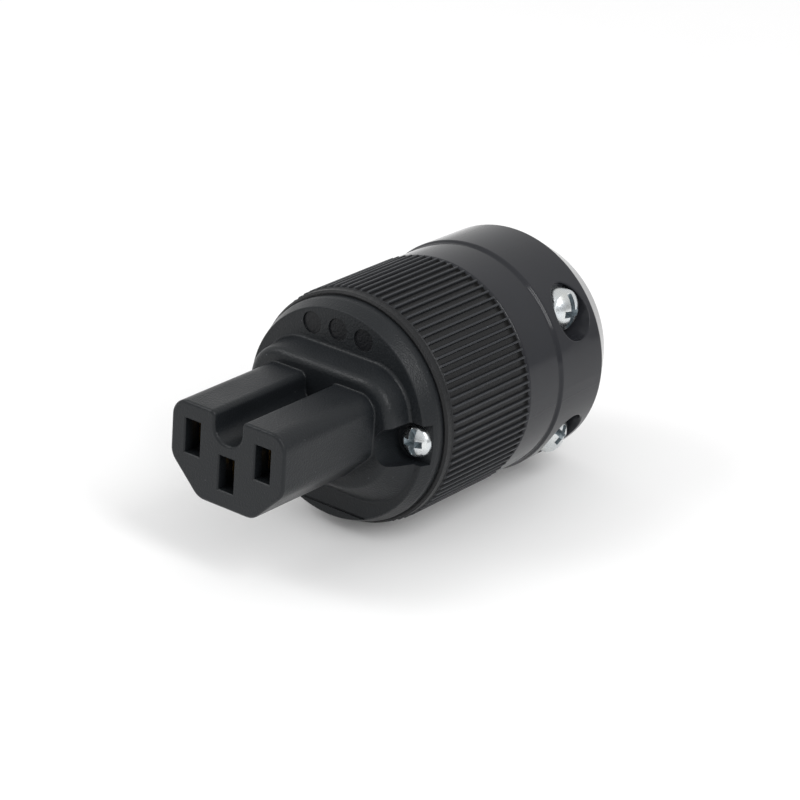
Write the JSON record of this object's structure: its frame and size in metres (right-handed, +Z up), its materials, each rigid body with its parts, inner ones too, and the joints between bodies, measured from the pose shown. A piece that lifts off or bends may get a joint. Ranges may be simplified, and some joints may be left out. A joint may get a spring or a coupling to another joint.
{
  "type": "iec power connector",
  "caption": "Rewireable IEC line connector: a notched three-slot socket nose on a round flange, a ribbed grip sleeve and a glossy rear shell with a screw cord clamp.",
  "frame": {"origin": "centre of the mating face, on the body's axis", "axes": "-Y out of the mating face, +Y to the cord end, +Z up through the keying notch, +X the side of the clamp screw heads"},
  "size_m": [0.0398, 0.078, 0.0396],
  "materials": {
    "matte_black": "fine-grained matte black moulding",
    "gloss_black": "glossy black moulding",
    "inner_moulding": "plain dark grey moulding",
    "zinc_steel": "bright zinc plating",
    "contact_brass": "bare rolled brass"
  },
  "bodies": {
    "housing": {"front_body": "matte_black", "line_contact": "contact_brass", "neutral_contact": "contact_brass", "earth_contact": "contact_brass", "line_clamp_plate": "contact_brass", "neutral_clamp_plate": "contact_brass", "earth_clamp_plate": "contact_brass", "line_terminal_screw": "zinc_steel", "neutral_terminal_screw": "zinc_steel", "earth_terminal_screw": "zinc_steel", "contact_retainer": "inner_moulding", "ribbed_sleeve": "matte_black", "rear_housing": "gloss_black", "right_assembly_screw": "zinc_steel", "left_assembly_screw": "zinc_steel", "right_threaded_insert": "contact_brass", "left_threaded_insert": "contact_brass"},
    "upper_screw": {"upper_clamp_screw": "zinc_steel"},
    "lower_screw": {"lower_clamp_screw": "zinc_steel"},
    "jaw": {"cord_clamp_jaw": "inner_moulding", "upper_clamp_nut": "zinc_steel", "lower_clamp_nut": "zinc_steel"}
  },
  "joints": [
    {"name": "upper_screw_turn", "type": "hinge", "parent": "housing", "child": "upper_screw", "pos_m": [0.0125, 0.0669, 0.01085], "axis": [-1, 0, 0], "range_deg": [0, 3000]},
    {"name": "lower_screw_turn", "type": "hinge", "parent": "housing", "child": "lower_screw", "pos_m": [0.0125, 0.0669, -0.01085], "axis": [-1, 0, 0], "range_deg": [0, 3000]},
    {"name": "jaw_slide", "type": "slide", "parent": "housing", "child": "jaw", "axis": [1, 0, 0], "range_m": [0, 0.005]}
  ],
  "couplings": [
    {"joint": "upper_screw_turn", "follows": "jaw_slide", "rad_per_m": 10472},
    {"joint": "lower_screw_turn", "follows": "jaw_slide", "rad_per_m": 10472}
  ]
}
